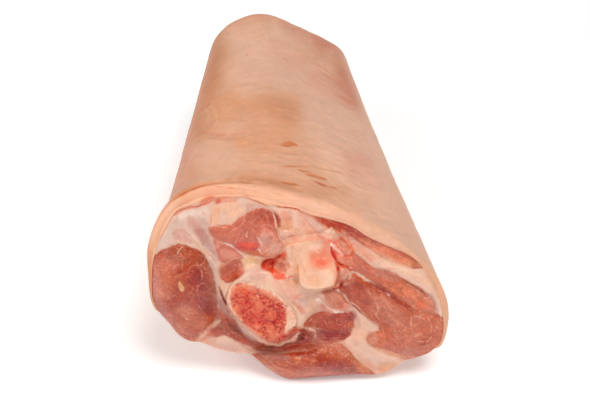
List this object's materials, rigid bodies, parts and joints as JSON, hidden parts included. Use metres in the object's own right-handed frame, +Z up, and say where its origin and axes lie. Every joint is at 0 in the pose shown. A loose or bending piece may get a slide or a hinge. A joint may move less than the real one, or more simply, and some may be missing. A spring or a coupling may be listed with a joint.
{
  "type": "pork leg",
  "caption": "Skin-on lower pork leg sawn across at both ends, with a fat layer, separate muscles, a sawn shank bone and a gristle cap showing on the wide cut face.",
  "frame": {"origin": "middle of the bounding box at its lowest level, on the surface that the leg lies on", "axes": "+Z up, +Y along the leg from the wide sawn face to the narrow sawn end, +X to the right as seen from in front of the wide face"},
  "size_m": [0.1259, 0.2066, 0.1033],
  "materials": {
    "rind": "satin",
    "red_flesh": "gloss",
    "pink_flesh": "gloss",
    "sawn_bone": "matte",
    "gristle": "gloss",
    "fat": "gloss"
  },
  "bodies": {
    "root": {"fat_layer": "rind", "round_muscle": "red_flesh", "main_muscle": "red_flesh", "lower_muscle": "red_flesh", "under_muscle": "red_flesh", "small_muscle": "red_flesh", "crown_muscle": "pink_flesh", "inner_muscle": "pink_flesh", "strip_muscle": "pink_flesh", "outer_muscle": "pink_flesh", "shank_bone": "sawn_bone", "knuckle_cap": "gristle", "seam_fat": "fat"}
  },
  "joints": []
}
